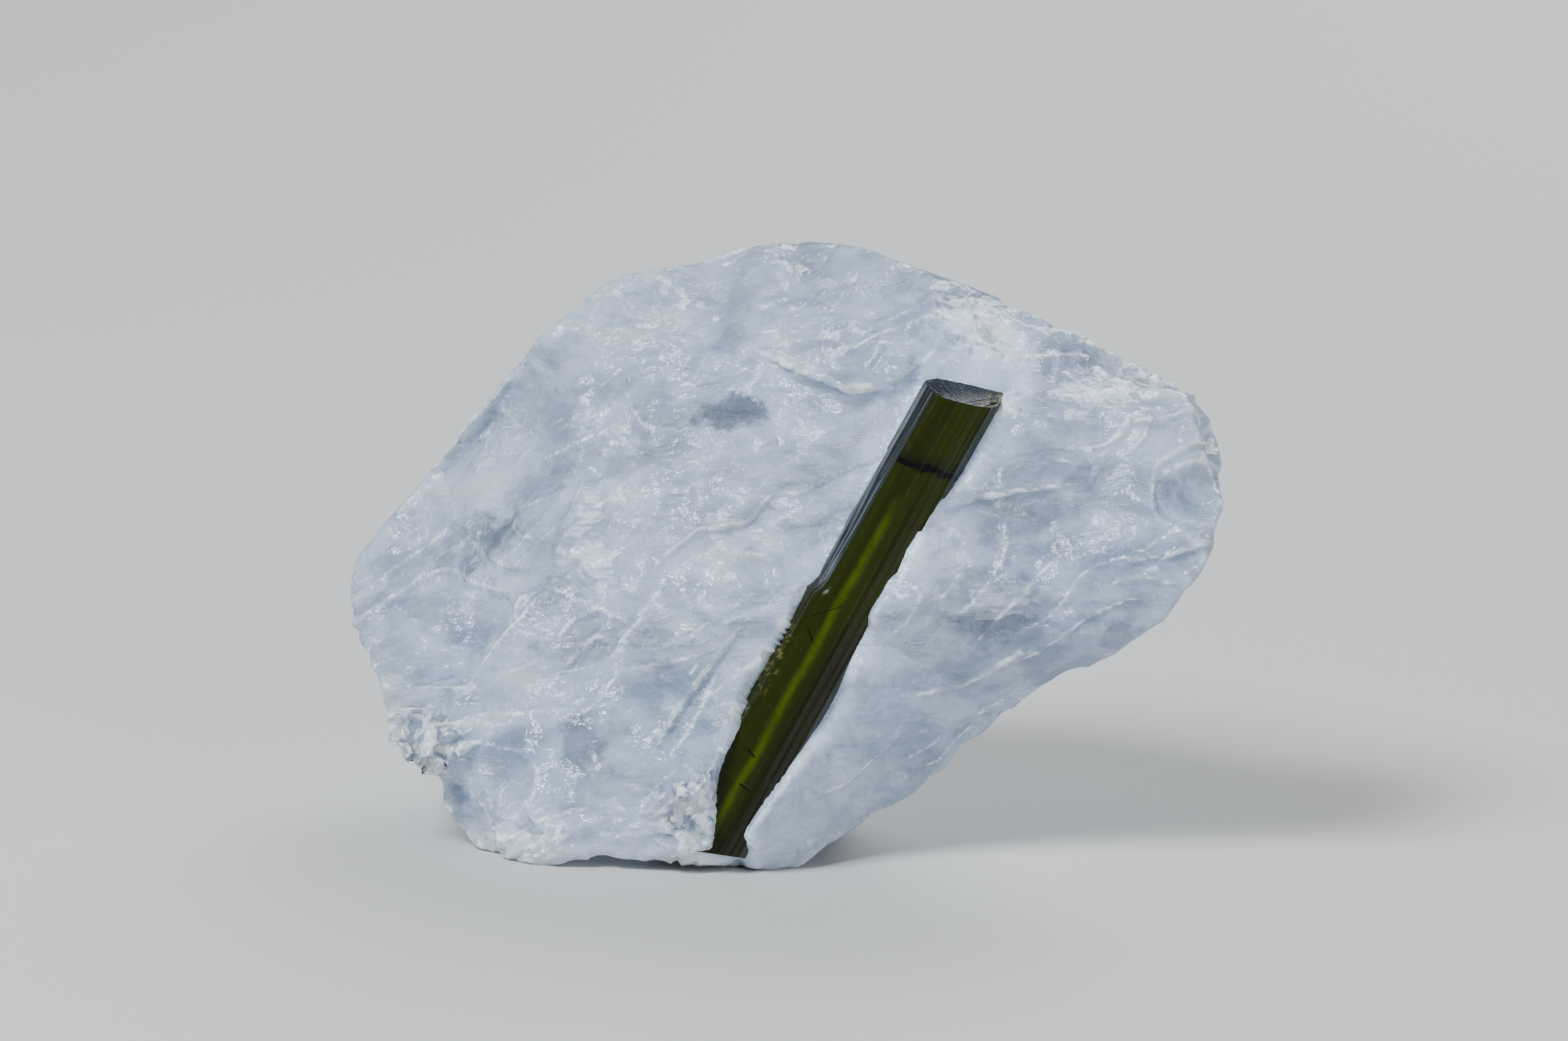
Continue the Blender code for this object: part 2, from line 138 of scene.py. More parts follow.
# %% Ledges all over the stone
LEDGE_SLANT = math.radians(30.0)
RUN_SQUEEZE = 0.55
DEPTH_SQUEEZE = 0.8
WIDE_LEDGES = {"pitch": 0.15, "count": 3.2, "lift": 0.25, "seed": 0.0}
NARROW_LEDGES = {"pitch": 0.34, "count": 2.4, "lift": 0.15, "seed": 31.0}
DROP_SHARE = 0.14
PATCH_PITCH = 0.8
PATCH_SHIFT = Vector((0.0, 5.0, 0.0))
PATCH_GAIN = 2.2
PATCH_LEVEL = 0.35
GRAIN_LIFT = 0.03
GRAIN_PITCH = 1.7
GRAIN_ROUGHNESS = 0.9
GRAIN_SPACING = 2.1
GRAIN_LAYERS = 4


def smooth_step(value):
    """0 below 0, 1 above 1 and a smooth rise between."""
    value = min(max(value, 0.0), 1.0)
    return value * value * (3.0 - 2.0 * value)


def saw_tooth(value):
    """Rises slowly from -0.5 to 0.5 and falls back over a short share of each turn."""
    turn = value - math.floor(value)
    fall = smooth_step((turn - 1.0 + DROP_SHARE) / DROP_SHARE)
    return turn / (1.0 - DROP_SHARE * 0.5) - 0.5 - fall


def along_breaks(point):
    """The place stretched along the way the breaks run, so that the ledges grow long."""
    run = point.x * math.cos(LEDGE_SLANT) + point.z * math.sin(LEDGE_SLANT)
    rise = point.z * math.cos(LEDGE_SLANT) - point.x * math.sin(LEDGE_SLANT)
    return Vector((run * RUN_SQUEEZE, point.y * DEPTH_SQUEEZE, rise))


def ledges(place, pitch, count, lift, seed):
    """Ledges that come and go, because the breaks between them are smooth."""
    moved = place * pitch + Vector((seed, 0.0, seed))
    kept = smooth_step(PATCH_GAIN * noise.noise(moved * PATCH_PITCH + PATCH_SHIFT) + PATCH_LEVEL)
    return kept * lift * saw_tooth(noise.noise(moved) * count)


def grown_relief(point):
    """How far the skin stands out at a place in millimetres, anywhere on the stone."""
    place = along_breaks(point)
    height = ledges(place, **WIDE_LEDGES) + ledges(place, **NARROW_LEDGES)
    grain = noise.fractal(point * GRAIN_PITCH, GRAIN_ROUGHNESS, GRAIN_SPACING, GRAIN_LAYERS)
    return height + GRAIN_LIFT * grain


print("relief at the middle of the front:", round(grown_relief(seen_at(0, 15) / MM), 3), "mm")

# %% [markdown]
# ## The ledges that the eye goes to
#
# Some breaks are landmarks: the step below the left lobe, the shell above the crystal's end, the
# long low step across the right face and the feathered crease near the foot. Each is a line of
# places in the viewer's plane. The stone stands out on the left of the line, seen along it, and
# falls away on the right, and both fade with the distance from the line.

# %% Landmark ledges
# the places along the line, the height of the step and how far it fades, all in mm
LANDMARKS = [
    ([(-18.1, 8.8), (-15.3, 8.8), (-14.5, 10.0), (-13.1, 11.8), (-11.5, 13.6)], -0.51, 0.8),
    ([(-14.9, 10.2), (-13.5, 11.6), (-12.8, 13.2)], -0.39, 0.5),
    ([(-11.1, 10.8), (-9.9, 12.0), (-8.9, 12.4), (-7.1, 11.6)], 0.45, 0.7),
    ([(-10.7, 9.5), (-9.1, 11.0), (-8.1, 10.9)], 0.36, 0.5),
    ([(-5.9, 6.2), (-4.9, 7.8), (-3.7, 9.4), (-2.1, 11.5)], 0.51, 0.7),
    ([(-5.2, 6.0), (-4.2, 7.6), (-3.2, 9.6)], -0.30, 0.3),
    ([(-1.1, 24.8), (0.0, 24.2), (2.1, 23.3), (3.1, 22.9), (5.1, 23.1)], 0.51, 0.9),
    ([(3.9, 23.9), (4.5, 24.6), (4.9, 25.5)], 0.27, 0.4),
    ([(8.1, 17.4), (10.8, 18.0), (13.6, 18.4)], 0.39, 1.0),
    ([(16.4, 14.7), (18.5, 15.0), (20.7, 15.7)], 0.33, 0.7),
    ([(-17.0, 5.0), (-16.2, 4.3), (-15.4, 3.9)], 0.36, 0.5),
    ([(-15.0, 3.4), (-14.5, 2.9), (-13.8, 1.6), (-13.6, 1.3)], 0.39, 0.5),
    ([(-12.0, 19.4), (-9.0, 20.8), (-6.6, 21.0)], 0.33, 0.8),
    ([(-6.2, 14.6), (-4.2, 16.2), (-1.8, 16.6), (0.0, 18.6)], 0.30, 0.7),
    ([(5.6, 8.4), (8.6, 9.0), (11.4, 10.6), (13.0, 10.4)], -0.30, 0.8),
    ([(1.6, 3.4), (3.2, 4.2), (5.6, 6.4)], 0.27, 0.6),
    ([(17.1, 23.3), (19.7, 22.8), (19.9, 21.0), (21.0, 18.1)], -0.70, 0.8),
]
CRISP = 0.10
FRONT_DEPTH = 9.0
LANDMARK_REACH = 3.5
END_TAPER = 5.0
END_SHARE = 0.25


def beside_line(spot, points):
    """Distance from a line of points, positive on its left, and the nearness to its ends."""
    nearest = None
    for i, (start, end) in enumerate(zip(points, points[1:])):
        run = Vector(end) - Vector(start)
        away = spot - Vector(start)
        share = away.dot(run) / run.length_squared
        held = min(max(share, 0.0), 1.0)
        gap = away - run * held
        side = 1.0 if run.x * away.y - run.y * away.x > 0 else -1.0
        way = (i + held) / (len(points) - 1)
        if nearest is None or gap.length < abs(nearest[0]):
            nearest = (gap.length * side, way)
    return nearest


def reach(points, margin):
    """The box round a line, grown by a margin."""
    rights = [point[0] for point in points]
    ups = [point[1] for point in points]
    return min(rights) - margin, max(rights) + margin, min(ups) - margin, max(ups) + margin


LANDMARK_BOXES = [reach(points, fade * LANDMARK_REACH) for points, lift, fade in LANDMARKS]


def landmark_relief(spot):
    """How far the landmark ledges lift the skin at a place as seen."""
    height = 0.0
    for (points, lift, fade), (left, right, low, high) in zip(LANDMARKS, LANDMARK_BOXES):
        if left < spot.x < right and low < spot.y < high:
            distance, way = beside_line(spot, points)
            crossing = min(max(distance / CRISP, -1.0), 1.0)
            ends = smooth_step(way * END_TAPER) * smooth_step((1.0 - way) * END_TAPER)
            share = END_SHARE + (1.0 - END_SHARE) * ends
            height += 0.5 * lift * crossing * math.exp(-abs(distance) / fade) * share
    return height


print("landmark ledges:", len(LANDMARKS))

# %% [markdown]
# ## Splintered spots
#
# Where the stone was struck it is crushed into small flat splinters that sparkle: at the tip on the
# left, and in the clear shards beside the crystal's foot. A Voronoi pattern cuts such a spot into
# cells, and each cell is given a slant of its own.

# %% Splinters
# right, up, half width, half height, size of a splinter and how far it slants
SPLINTERED = [
    (-17.4, 6.0, 1.8, 1.7, 0.90, 0.80),
    (-4.7, 2.4, 1.5, 2.4, 0.90, 0.45),
    (-2.9, 4.0, 0.7, 2.2, 0.70, 0.30),
    (-12.4, 1.5, 2.2, 1.0, 1.00, 0.30),
]
SPLINTER_EDGE = 1.2
SPLINTER_FADE = 3.0
SPLINTER_SEED = 37.0


def splinter_relief(spot, point):
    """How far the splinters lift the skin at a place as seen."""
    height = 0.0
    for right, up, half_width, half_height, size, slant in SPLINTERED:
        off = math.hypot((spot.x - right) / half_width, (spot.y - up) / half_height)
        if off < SPLINTER_EDGE:
            cell = noise.voronoi(point / size)[1][0]
            tilt = noise.cell_vector(cell * SPLINTER_SEED) - Vector((0.5, 0.5, 0.5))
            kept = smooth_step((SPLINTER_EDGE - off) * SPLINTER_FADE)
            height += slant * 2.0 * tilt.dot(point / size - cell) * size * kept
    return height


def relief(place):
    """Everything that lifts the skin at a place in metres, in millimetres."""
    point = place / MM
    spot = as_seen(place)
    height = grown_relief(point)
    if spot.z < FRONT_DEPTH:
        flat = spot.xy
        height += landmark_relief(flat) + splinter_relief(flat, point)
    return height


print("splintered spots:", len(SPLINTERED))

# %% [markdown]
# ## Copying a solid
#
# A solid arrives as loose triangles. Merging the doubled corners first makes it one skin, which the
# voxel remesher needs. Its result is read back into a plain mesh, so nothing is left live on it.

# %% Copy and bake helpers
MERGE_WITHIN = 0.002


def merged_copy(node):
    """A closed bmesh of one of the solids."""
    bm = bmesh.new()
    bm.from_mesh(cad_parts[node].data)
    bmesh.ops.remove_doubles(bm, verts=bm.verts, dist=MERGE_WITHIN * MM)
    return bm


def as_object(bm, name):
    """Puts a bmesh in the scene as an object at the origin."""
    mesh = bpy.data.meshes.new(name)
    bm.to_mesh(mesh)
    bm.free()
    piece = bpy.data.objects.new(name, mesh)
    bpy.context.scene.collection.objects.link(piece)
    return piece


def bake_modifiers(piece):
    """Replaces the mesh by what its modifiers make of it."""
    graph = bpy.context.evaluated_depsgraph_get()
    graph.update()
    shaped = bpy.data.meshes.new_from_object(piece.evaluated_get(graph))
    piece.modifiers.clear()
    piece.data = shaped


def shade_smooth(piece):
    """Blends the light over the edges of the small faces."""
    piece.data.polygons.foreach_set("use_smooth", [True] * len(piece.data.polygons))
    piece.data.update()


def keep_in_box(verts, box):
    """Holds the vertices between the lowest and the highest corner of a box."""
    low, high = box
    for vert in verts:
        vert.co = [min(max(vert.co[i], low[i]), high[i]) for i in range(3)]


# %% [markdown]
# ## The tourmaline prism
#
# Tourmaline grows as a long prism whose section is a triangle with bulging sides, and its faces are
# ribbed lengthwise. The section below has the flats that the real one shows. It is drawn as a ring,
# extruded along the axis in many short lifts, and its ribs are cut by moving every point in or out
# by a noise that changes quickly around the prism and hardly at all along it. Its lower half is a
# little broader on the left, where the quartz has broken away from it.

# %% Section and axis of the prism
# the ends of the axis as (right, up, back) and the section as (right, forward)
CRYSTAL_TOP = (8.16, 22.18, 0.70)
CRYSTAL_FOOT = (-3.97, 0.58, 1.30)
CRYSTAL_SECTION = [
    (-1.86, 0.10), (-1.70, 0.70), (-1.20, 1.34), (-0.30, 1.52), (0.75, 1.52), (1.52, 1.36),
    (1.86, 0.80), (1.66, -0.70), (0.95, -1.45), (-0.10, -1.70), (-1.10, -1.35), (-1.72, -0.60),
]
CRYSTAL_OVERRUN = 3.0
RIB_SEGMENTS = 168
LIFTS = 72
RIB_DEPTH = 0.030
RIB_SHARE = 0.8
FINE_RIB_PITCH = 11.0
FINE_RIB_DRIFT = 0.05
BROAD_RIB_PITCH = 3.5
BROAD_RIB_DRIFT = 0.03
WAVER = 0.03
WAVER_DRIFT = 0.35
LOW_SWELL = 0.32
LOW_SWELL_UNDER = 14.6
LOW_SWELL_FADE = 0.8
LOW_SWELL_REACH = 1.6

foot = seen_at(*CRYSTAL_FOOT)
top = seen_at(*CRYSTAL_TOP)
along = (top - foot).normalized()
toward_viewer = seen_at(0, EYE_UP, -10) - seen_at(0, EYE_UP, 0)
across = along.cross(toward_viewer).normalized()
across = across if across.x > 0 else -across
forward = across.cross(along).normalized()
forward = forward if forward.y < 0 else -forward
print("prism length:", round((top - foot).length / MM, 1), "mm")


def section_point(turn):
    """A point of the section at a share of the way round, in millimetres (right, forward)."""
    count = len(CRYSTAL_SECTION)
    place = turn * count
    start = int(place) % count
    a = Vector(CRYSTAL_SECTION[start])
    b = Vector(CRYSTAL_SECTION[(start + 1) % count])
    return a.lerp(b, place - int(place))


def ribs(turn, height):
    """Depth of the lengthwise ribs at a share of the way round and a height along the prism."""
    circle = Vector((math.cos(turn * math.tau), math.sin(turn * math.tau), 0.0))
    fine = noise.noise(circle * FINE_RIB_PITCH + Vector((0, 0, height * FINE_RIB_DRIFT)))
    broad = noise.noise(circle * BROAD_RIB_PITCH + Vector((4, 0, height * BROAD_RIB_DRIFT)))
    return RIB_DEPTH * (RIB_SHARE * fine + RIB_SHARE * broad)


# %% [markdown]
# ## Breaking the ends of the prism
#
# Tourmaline snaps across in an uneven break, and the real crystal has no grown end faces. Three
# planes cut the overlong prism: the slanting break on top, a chip at its left corner and the heel.
# Each cut is filled, and its faces are split twice so that their new corners can be dented.

# %% Extrude the prism and break its ends
# The break on top runs through three points and the chip beside it through one, as (right, forward,
# along) from the top. The heel is cut at a place as seen.
TOP_BREAK = [(-1.7, 1.1, 0.16), (1.9, 0.6, 1.42), (-1.5, -1.5, 1.62)]
CHIP_PLACE = (-1.2, 0.0, 1.05)
CHIP_FACING = (-0.75, 0.20, 0.90)
HEEL_PLACE = (-2.80, 0.66, 0.30)
HEEL_FACING = (-0.10, -0.25, -1.0)
END_ROUGHNESS = 0.05
END_PITCH = 2.2
CUT_TOLERANCE = 1e-8


def in_prism(right, ahead, up):
    """A direction given by the prism's own axes."""
    return across * right + forward * ahead + along * up


def cut_off(bm, point, normal):
    """Takes off what lies beyond a plane and closes the cut with a fine, slightly uneven face."""
    whole = bm.verts[:] + bm.edges[:] + bm.faces[:]
    cut = bmesh.ops.bisect_plane(
        bm, geom=whole, dist=CUT_TOLERANCE, plane_co=point, plane_no=normal, clear_outer=True
    )
    rim = [item for item in cut["geom_cut"] if isinstance(item, bmesh.types.BMEdge)]
    filled = bmesh.ops.triangle_fill(bm, use_beauty=True, edges=rim, normal=normal)["geom"]
    faces = [item for item in filled if isinstance(item, bmesh.types.BMFace)]
    poked = bmesh.ops.poke(bm, faces=faces)
    again = bmesh.ops.poke(bm, faces=poked["faces"])
    for vert in poked["verts"] + again["verts"]:
        vert.co -= normal * END_ROUGHNESS * abs(noise.noise(vert.co / MM * END_PITCH)) * MM


def swell_ribs(bm):
    """Broadens the lower half on its left and cuts the ribs, all round the prism."""
    for vert in bm.verts:
        own = vert.co - foot
        height = own.dot(along) / MM
        flat = Vector((own.dot(across), own.dot(forward)))
        turn = math.atan2(flat.y, flat.x) / math.tau % 1.0
        low = smooth_step((LOW_SWELL_UNDER - height) / LOW_SWELL_FADE)
        low *= smooth_step(-flat.x / MM / LOW_SWELL_REACH)
        vert.co -= across * LOW_SWELL * low * MM
        waver = WAVER * noise.noise(Vector((flat.x / MM, flat.y / MM, height * WAVER_DRIFT)))
        outward = in_prism(flat.x, flat.y, 0.0).normalized()
        vert.co += outward * (ribs(turn, height) + waver) * MM


def make_crystal():
    """The prism as one closed mesh."""
    length = (top - foot).length / MM + CRYSTAL_OVERRUN
    bm = bmesh.new()
    ring = bmesh.ops.create_circle(bm, cap_ends=False, segments=RIB_SEGMENTS, radius=MM)["verts"]
    for i, vert in enumerate(ring):
        flat = section_point(i / RIB_SEGMENTS)
        vert.co = foot + in_prism(flat.x, flat.y, 0.0) * MM
    edges = list(bm.edges)
    for _ in range(LIFTS):
        grown = bmesh.ops.extrude_edge_only(bm, edges=edges)["geom"]
        edges = [item for item in grown if isinstance(item, bmesh.types.BMEdge)]
        verts = [item for item in grown if isinstance(item, bmesh.types.BMVert)]
        bmesh.ops.translate(bm, verts=verts, vec=along * length / LIFTS * MM)
    swell_ribs(bm)
    bmesh.ops.holes_fill(bm, edges=bm.edges, sides=RIB_SEGMENTS)
    bmesh.ops.recalc_face_normals(bm, faces=bm.faces)
    left, right, rear = (Vector(corner) for corner in TOP_BREAK)
    facing = (right - left).cross(rear - left)
    facing = in_prism(*(facing if facing.z > 0 else -facing)).normalized()
    cut_off(bm, top + in_prism(*TOP_BREAK[0]) * MM, facing)
    cut_off(bm, top + in_prism(*CHIP_PLACE) * MM, in_prism(*CHIP_FACING).normalized())
    cut_off(bm, seen_at(*HEEL_PLACE), Vector(HEEL_FACING).normalized())
    keep_in_box(bm.verts, cad_box)
    bmesh.ops.recalc_face_normals(bm, faces=bm.faces)
    print("open edges of the prism:", sum(1 for edge in bm.edges if not edge.is_manifold))
    if bm.calc_volume(signed=True) < 0:
        bmesh.ops.reverse_faces(bm, faces=bm.faces)
    return as_object(bm, "tourmaline_prism")


crystal = make_crystal()
print("crystal faces:", len(crystal.data.polygons))

# %% [markdown]
# ## Carving the quartz
#
# The quartz grew round the crystal, so the two touch all along. The remesher would leave a ragged
# gap between them. So a slightly swollen copy of the crystal is melted into the quartz first, and
# afterwards the skin over it is drawn in under the crystal's own faces. Where the two skins cross,
# the line of contact is clean. On the lower left and at the end, where the crystal lies bare, a
# thicker skin goes. Last, each vertex stores how far it stands out from its neighbours, which the
# finish uses to paint highlights on the sharp rim of each break and painted shade in its creases.

# %% Make the quartz piece
FINE_VOXEL = 0.22
SOFTENING = 4
PLUG_SWELL = 0.12
TUCK_DEPTH = 0.12
TUCK_FROM = 0.42
TUCK_OVER = 0.20
TUCK_LEAST = 0.002
TUCK_SEARCH = 1.5
BARE_LEAST = 0.1
# how thick the lost skin is, and its limits along, across and ahead of the prism's axis, in mm
BARE_SIDE = {"depth": 0.90, "left": -2.25, "right": 0.5, "low": 6.0, "high": 14.6}
BARE_SIDE_FADES = {"left": 0.25, "right": 1.0, "low": 1.5, "high": 0.5}
BARE_END = {"depth": 0.55, "low": 23.6, "front": 0.1}
BARE_END_FADES = {"low": 0.5, "front": 0.4}


def quartz_with_plug():
    """The quartz and the swollen crystal in one mesh."""
    plug = merged_copy("tourmaline_crystal")
    plug.normal_update()
    for vert in plug.verts:
        vert.co += vert.normal * PLUG_SWELL * MM
    spare = bpy.data.meshes.new("plug")
    plug.to_mesh(spare)
    plug.free()
    both = merged_copy("quartz_matrix")
    both.from_mesh(spare)
    bpy.data.meshes.remove(spare)
    return both


def skin_of(piece):
    """A search tree over the faces of a piece."""
    bm = bmesh.new()
    bm.from_mesh(piece.data)
    skin = BVHTree.FromBMesh(bm)
    bm.free()
    return skin


def bareness(place):
    """How thick a skin the break has taken off the left edge of the lower half, and off the end."""
    own = (place - foot) / MM
    right = own.dot(across)
    height = own.dot(along)
    ahead = own.dot(forward)
    side = smooth_step((height - BARE_SIDE["low"]) / BARE_SIDE_FADES["low"])
    side *= smooth_step((BARE_SIDE["high"] - height) / BARE_SIDE_FADES["high"])
    side *= smooth_step((right - BARE_SIDE["left"]) / BARE_SIDE_FADES["left"])
    side *= smooth_step((BARE_SIDE["right"] - right) / BARE_SIDE_FADES["right"])
    end = smooth_step((height - BARE_END["low"]) / BARE_END_FADES["low"])
    end *= smooth_step((ahead - BARE_END["front"]) / BARE_END_FADES["front"])
    return max(BARE_SIDE["depth"] * side, BARE_END["depth"] * end)


def tucked(place, crystal_skin):
    """The place, drawn in under the crystal's skin if it is close to it, and how far it is off."""
    extra = bareness(place)
    near, _, _, distance = crystal_skin.find_nearest(place, (TUCK_FROM * TUCK_SEARCH + extra) * MM)
    if near is None:
        return place, 1.0
    meeting = crystal_skin.find_nearest_range(place, distance + TUCK_LEAST * MM)
    outward = sum((normal for _, normal, _, _ in meeting), Vector()).normalized()
    gap = place - near
    side = 1.0 if gap.dot(outward) > 0 else -1.0
    height = distance * side / MM
    if distance > TUCK_LEAST * MM:
        outward = gap.normalized() * side
    share = smooth_step((TUCK_FROM + extra - height) / TUCK_OVER)
    sink = PLUG_SWELL if extra < BARE_LEAST else max(PLUG_SWELL, height)
    return place - outward * (sink + TUCK_DEPTH) * share * MM, 1.0 - share


def mark_crests(piece):
    """Stores on each vertex how far it stands out from its neighbours, in millimetres."""
    bm = bmesh.new()
    bm.from_mesh(piece.data)
    bm.normal_update()
    values = []
    for vert in bm.verts:
        around = [edge.other_vert(vert).co for edge in vert.link_edges]
        middle = sum(around, Vector()) / len(around)
        values.append((vert.co - middle).dot(vert.normal) / MM)
    bm.free()
    marks = piece.data.attributes.new("crest", "FLOAT", "POINT")
    marks.data.foreach_set("value", values)
    print("sharpest hollow and ridge:", round(min(values), 2), round(max(values), 2), "mm")


def make_quartz():
    """The quartz as one fine mesh, with its relief and its mark on each ridge."""
    piece = as_object(quartz_with_plug(), "quartz_stone")
    even = piece.modifiers.new("even skin", "REMESH")
    even.mode = "VOXEL"
    even.voxel_size = FINE_VOXEL * MM
    soft = piece.modifiers.new("soften", "SMOOTH")
    soft.factor = 0.5
    soft.iterations = SOFTENING
    bake_modifiers(piece)
    crystal_skin = skin_of(crystal)
    moved = []
    for vert in piece.data.vertices:
        place, free = tucked(vert.co, crystal_skin)
        moved.append(place + vert.normal * relief(vert.co) * free * MM)
    for vert, place in zip(piece.data.vertices, moved):
        vert.co = place
    keep_in_box(piece.data.vertices, cad_box)
    mark_crests(piece)
    shade_smooth(piece)
    return piece


quartz = make_quartz()
print("quartz faces:", len(quartz.data.polygons))

# %% [markdown]
# ## Shader sums as plain expressions
#
# A material is a graph of nodes. Written as Python sums it is easier to read: a small class wraps
# one socket, and adding or multiplying two of them puts in the Math node that does it.

# %% Socket wrapper
class Value:
    """One output socket, usable in sums."""

    def __init__(self, finish, socket):
        self.finish = finish
        self.socket = socket

    def math(self, operation, first, second=None, clamp=False):
        inputs = {0: first} if second is None else {0: first, 1: second}
        return self.finish.add("ShaderNodeMath", {"operation": operation, "use_clamp": clamp}, inputs)

    def __add__(self, other):
        return self.math("ADD", self, other)

    __radd__ = __add__

    def __sub__(self, other):
        return self.math("SUBTRACT", self, other)

    def __rsub__(self, other):
        return self.math("SUBTRACT", other, self)

    def __mul__(self, other):
        return self.math("MULTIPLY", self, other)

    __rmul__ = __mul__

    def __truediv__(self, other):
        return self.math("DIVIDE", self, other)

    def __abs__(self):
        return self.math("ABSOLUTE", self)

    def clamped(self):
        return self.math("ADD", self, 0.0, clamp=True)

    def larger(self, other):
        return self.math("MAXIMUM", self, other)

    def ramp(self, low, high, to_low=0.0, to_high=1.0):
        """Runs smoothly from to_low to to_high as the value goes from low to high."""
        settings = {"interpolation_type": "SMOOTHSTEP"}
        inputs = {"Value": self, "From Min": low, "From Max": high, "To Min": to_low, "To Max": to_high}
        return self.finish.add("ShaderNodeMapRange", settings, inputs)

    def beside(self, name):
        """Another output of the node that this one comes from."""
        return Value(self.finish, self.socket.node.outputs[name])

    def parts(self):
        """The three numbers of a vector."""
        return [self.finish.add("ShaderNodeSeparateXYZ", None, {0: self}, output=i) for i in range(3)]


class Finish:
    """A material under construction. Places are in millimetres."""

    def __init__(self, name):
        self.material = bpy.data.materials.new(name)
        self.material.use_nodes = True
        self.tree = self.material.node_tree
        self.tree.nodes.clear()
        place = self.add("ShaderNodeTexCoord", output="Object")
        self.place = self.vector_math("SCALE", place, Scale=1.0 / MM)

    def add(self, kind, settings=None, inputs=None, output=0):
        node = self.tree.nodes.new(kind)
        for key, value in (settings or {}).items():
            setattr(node, key, value)
        for key, value in (inputs or {}).items():
            if isinstance(value, Value):
                self.tree.links.new(value.socket, node.inputs[key])
            else:
                node.inputs[key].default_value = value
        return Value(self, node.outputs[output])

    def vector_math(self, operation, first, second=None, output=0, **named):
        inputs = {0: first, **named} if second is None else {0: first, 1: second, **named}
        return self.add("ShaderNodeVectorMath", {"operation": operation}, inputs, output)

    def vector(self, x, y, z):
        return self.add("ShaderNodeCombineXYZ", None, {0: x, 1: y, 2: z})

    def mapped(self, vector, kind="POINT", rotation=(0, 0, 0), scale=(1, 1, 1), location=(0, 0, 0)):
        inputs = {"Vector": vector, "Rotation": rotation, "Scale": scale, "Location": location}
        return self.add("ShaderNodeMapping", {"vector_type": kind}, inputs)

    def in_axes(self, origin, axes):
        """The place measured from an origin in metres along three axes, which are right-handed."""
        turn = Matrix(axes).transposed().to_euler()
        return self.mapped(self.place, "TEXTURE", turn, location=origin / MM)

    def noise(self, vector, scale, detail=3.0, roughness=0.5, distortion=0.0, output=0):
        inputs = {
            "Vector": vector, "Scale": scale, "Detail": detail,
            "Roughness": roughness, "Distortion": distortion,
        }
        return self.add("ShaderNodeTexNoise", None, inputs, output)

    def wandered(self, vector, scale, amount):
        """The vector pushed about by a noise."""
        push = self.noise(vector, scale, 2.0, 0.6, output="Color")
        centred = self.vector_math("SUBTRACT", push, (0.5, 0.5, 0.5))
        return self.vector_math("ADD", vector, self.vector_math("SCALE", centred, Scale=amount))

    def voronoi(self, vector, scale, output):
        return self.add("ShaderNodeTexVoronoi", None, {"Vector": vector, "Scale": scale}, output)

    def facets(self, vector, scale):
        """A surface of flat chips: each Voronoi cell slants its own way."""
        cell = self.voronoi(vector, scale, output="Position")
        off = self.vector_math("SUBTRACT", vector, cell)
        tilt = self.vector_math("SUBTRACT", cell.beside("Color"), (0.5, 0.5, 0.5))
        return self.vector_math("DOT_PRODUCT", off, tilt, output="Value")

    def colour_mix(self, factor, first, second):
        return self.add("ShaderNodeMix", {"data_type": "RGBA"}, {0: factor, 6: first, 7: second}, output=2)

    def bump(self, height, strength, distance):
        inputs = {"Height": height, "Strength": strength, "Distance": distance * MM}
        return self.add("ShaderNodeBump", None, inputs)

    def principled(self, **inputs):
        settings = {"subsurface_method": "RANDOM_WALK"}
        named = {key.replace("_", " "): value for key, value in inputs.items()}
        return self.add("ShaderNodeBsdfPrincipled", settings, named)

    def surface(self, shader, volume=None):
        output = self.tree.nodes.new("ShaderNodeOutputMaterial")
        self.tree.links.new(shader.socket, output.inputs["Surface"])
        if volume is not None:
            self.tree.links.new(volume.socket, output.inputs["Volume"])


# %% [markdown]
# ## Where the quartz is clear and where it is bright
#
# The stone is clear in itself and full of tiny healed cracks, which make most of it milky. Some
# windows are free of them: they get a larger share of clear glass, and a dark colour that paints
# the shade seen through them. Other spots lie over a flat crack inside, and their colour is a painted
# reflection of the light that the crack sends back. Both are ovals in the viewer's plane whose edges
# a noise has torn. The place as seen is worked out in the shader just as in Python.

# %% Ovals in the viewer's plane
# right, up, half width and half height in mm, turn in degrees and strength
WINDOWS = [
    (-2.5, 22.0, 1.9, 0.95, 8, 1.0),
    (-15.2, 15.9, 2.6, 1.5, 25, 1.0),
    (11.2, 16.7, 2.7, 1.0, 10, 0.50),
    (9.6, 12.8, 2.6, 1.8, 10, 0.50),
    (-9.8, 6.0, 1.4, 1.3, 20, 0.65),
    (-4.7, 2.2, 1.5, 1.7, 0, 0.70),
    (16.2, 11.2, 1.2, 0.8, 35, 0.55),
    (-11.9, 18.6, 2.4, 0.8, 35, 0.40),
    (-7.6, 19.6, 1.6, 0.8, 30, 0.40),
]
# the spots where flat cracks inside get painted reflections
SHINING = [
    (-8.7, 15.9, 3.0, 2.4, 30, 1.0),
    (-5.9, 11.5, 1.6, 0.7, 10, 0.9),
    (-3.2, 23.6, 2.4, 0.8, 15, 0.8),
    (-1.6, 16.3, 2.4, 1.4, 10, 0.6),
    (-17.5, 6.1, 1.7, 1.7, 0, 1.3),
    (9.8, 12.2, 2.6, 1.6, 20, 0.7),
    (10.4, 25.8, 2.0, 1.2, -20, 0.7),
    (-7.0, 2.2, 2.0, 0.6, 15, 0.6),
    (4.0, 1.6, 1.4, 1.2, 30, 0.5),
]
CHIPPED = [
    (-17.5, 6.1, 1.9, 1.9, 0, 0.6),
    (-4.6, 2.4, 1.7, 2.4, -15, 0.6),
    (-12.6, 1.4, 2.4, 0.9, 5, 0.4),
    (10.0, 25.4, 2.4, 1.2, -20, 0.6),
]
